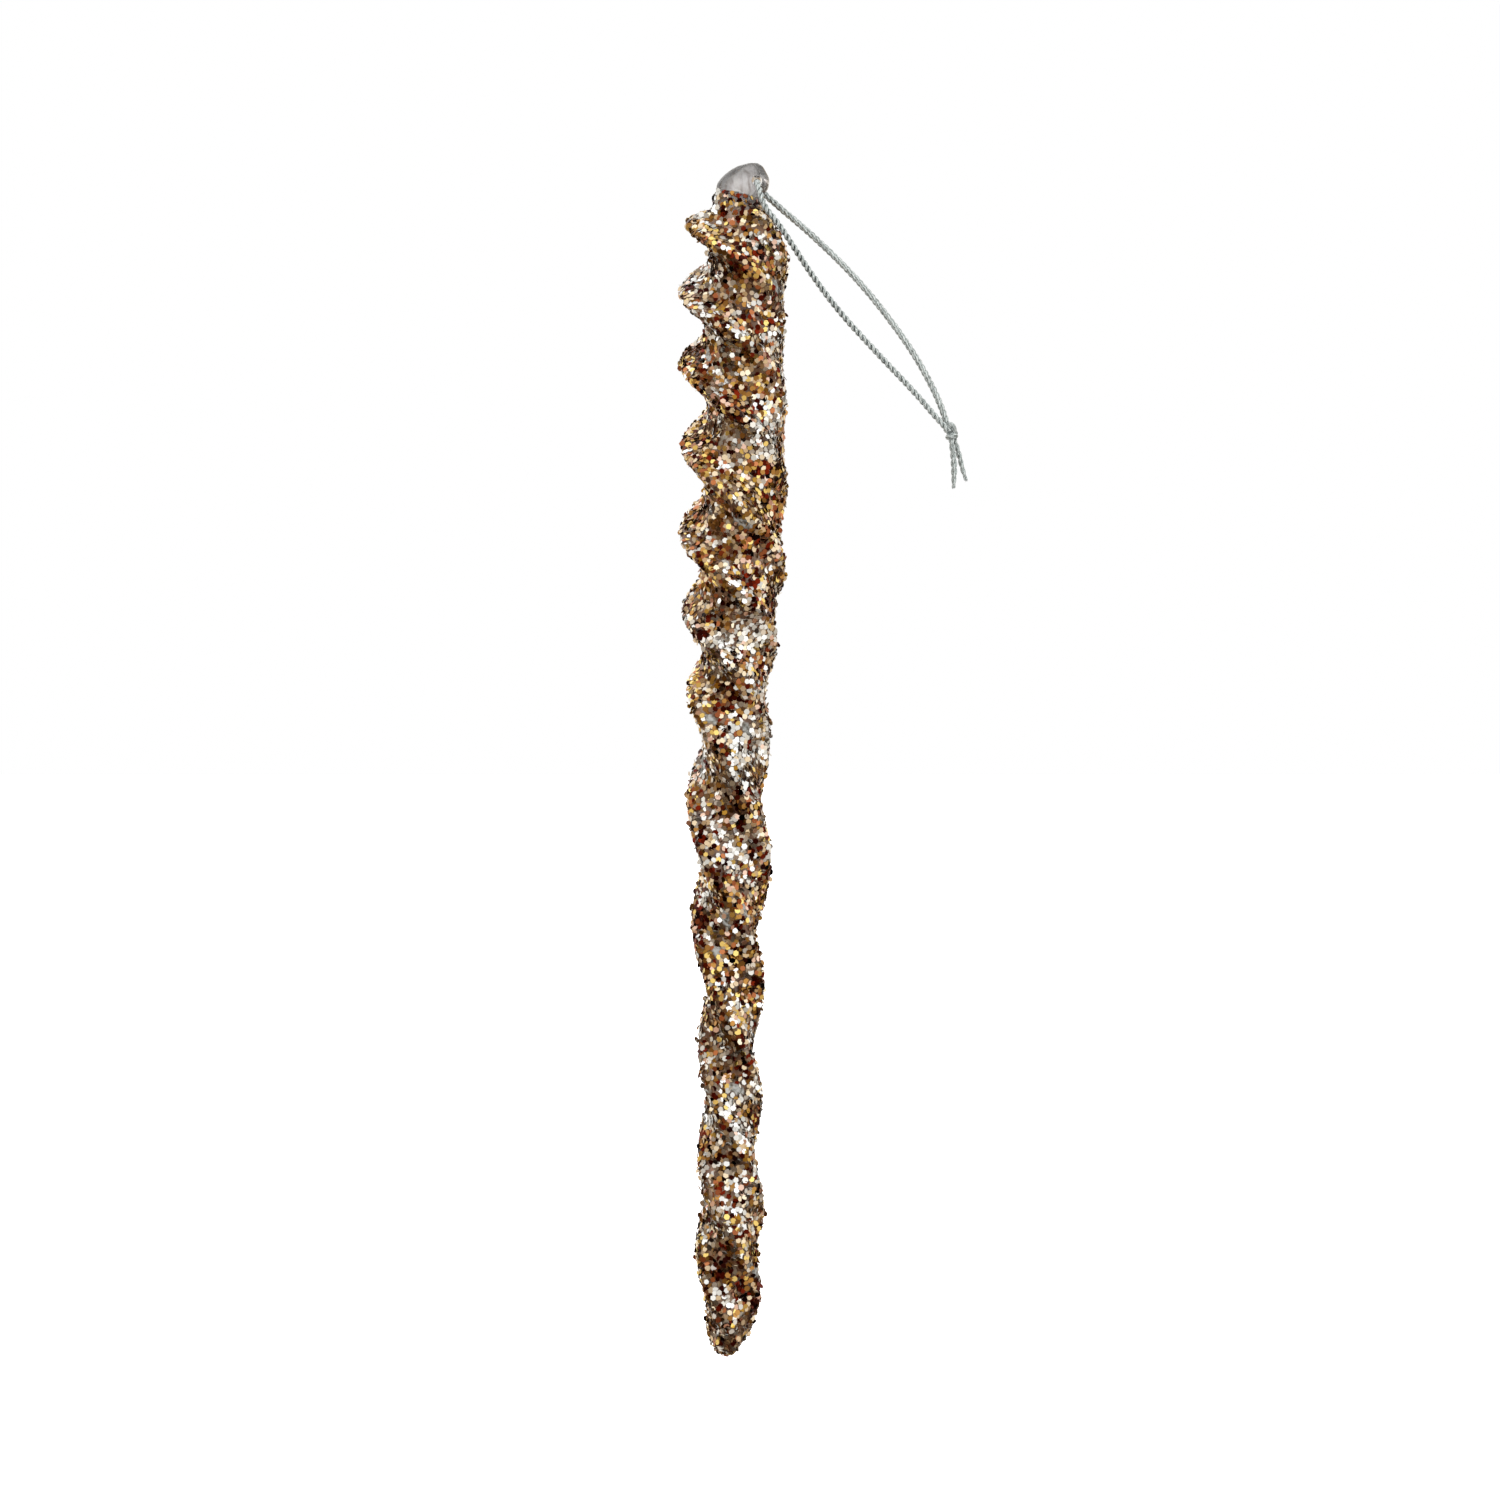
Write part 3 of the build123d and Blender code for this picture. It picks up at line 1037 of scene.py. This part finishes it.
def add_floor():
    """A pale floor that the camera sees and the ornament doesn't."""
    made = Shader(
        "floor",
        Base_Color=(0.9, 0.9, 0.9, 1),
        Roughness=0.8,
        Emission_Color=PLAIN_WHITE,
        Emission_Strength=1.2,
    )
    mesh = bpy.data.meshes.new("floor")
    corners = [(-1, -1), (1, -1), (1, 1), (-1, 1)]
    vertices = [(x * FLOOR_HALF, y * FLOOR_HALF, FLOOR_HEIGHT) for x, y in corners]
    mesh.from_pydata(vertices, [], [(0, 1, 2, 3)])
    mesh.materials.append(made.material)
    floor = bpy.data.objects.new("floor", mesh)
    scene.collection.objects.link(floor)
    floor.visible_glossy = False
    floor.visible_transmission = False
    floor.visible_diffuse = False


def add_world():
    """White behind everything; in reflections and through glass, bright panels and dark gaps."""
    world = bpy.data.worlds.new("studio")
    scene.world = world
    world.use_nodes = True
    tree = NodeTree(world.node_tree)
    tree.nodes.clear()

    def background(colour, strength):
        return tree.node("Background", {"Color": colour, "Strength": strength}).outputs[0]

    def choose(factor, first, second):
        return tree.node("MixShader", {0: factor, 1: first, 2: second}).outputs[0]

    direction = tree.node("TexCoord").outputs["Generated"]
    parts = tree.node("SeparateXYZ", {0: direction}).outputs
    azimuth = tree.math("ARCTAN2", parts["Y"], parts["X"])

    # What the flakes mirror: upright and slanting panels, brighter above and towards +X
    stripes = tree.math("SINE", tree.math("MULTIPLY_ADD", azimuth, 2.0, 3.4))
    slant = tree.math("MULTIPLY_ADD", parts["Z"], 8.0, tree.math("MULTIPLY", azimuth, 7.0))
    patches = tree.math("MULTIPLY", tree.math("SINE", slant), 0.5)
    level = tree.math("MULTIPLY_ADD", stripes, 0.5, patches)
    level = tree.math("MULTIPLY_ADD", parts["X"], 0.35, level)
    level = tree.math("ADD", parts["Z"], level)
    panels = tree.ramp(
        tree.remap(level, -1.6, 1.6),
        [
            (0.12, (0.008, 0.004, 0.003)),
            (0.27, (0.11, 0.055, 0.024)),
            (0.40, (0.46, 0.35, 0.24)),
            (0.53, (0.79, 0.74, 0.655)),
            (0.68, (0.90, 0.89, 0.87)),
        ],
    )

    # What is seen through the glass: four bright quarters that fall off above and below
    quarters = tree.math("COSINE", tree.math("MULTIPLY", azimuth, 4.0))
    bright = tree.remap(quarters, -0.6, 0.7, 0.32, 1.0)
    fall = tree.remap(tree.math("ABSOLUTE", parts["Z"]), 0.2, 0.75, 1.0, 0.3)
    through = tree.math("MULTIPLY", bright, fall)

    rays = tree.node("LightPath").outputs
    light = choose(rays["Is Glossy Ray"], background(PLAIN_WHITE, 0.75), background(panels, 1.65))
    light = choose(rays["Is Transmission Ray"], light, background(PLAIN_WHITE, through))
    light = choose(rays["Is Camera Ray"], light, background(PLAIN_WHITE, 1.0))
    tree.node("OutputWorld", {"Surface": light})


def add_lamp(name, place, target, size, power):
    """A rectangular lamp aimed at a target, itself unseen."""
    lamp = bpy.data.lights.new(name, "AREA")
    lamp.shape = "RECTANGLE"
    lamp.size, lamp.size_y = size
    lamp.energy = power
    made = bpy.data.objects.new(name, lamp)
    made.location = place
    aim = Vector(target) - Vector(place)
    made.rotation_euler = aim.to_track_quat("-Z", "Y").to_euler()
    made.visible_camera = False
    made.visible_glossy = False
    scene.collection.objects.link(made)


MIDDLE = (0, 0, -0.1)
add_floor()
add_world()
add_lamp("key", (-0.5, -0.55, 0.35), MIDDLE, (0.25, 0.6), 4.0)
add_lamp("fill", (0.6, -0.45, 0.1), MIDDLE, (0.25, 0.6), 2.0)
add_lamp("rim", (0.1, 0.6, 0.3), MIDDLE, (0.5, 0.5), 2.0)

scene.view_settings.view_transform = "Standard"
scene.view_settings.look = "None"
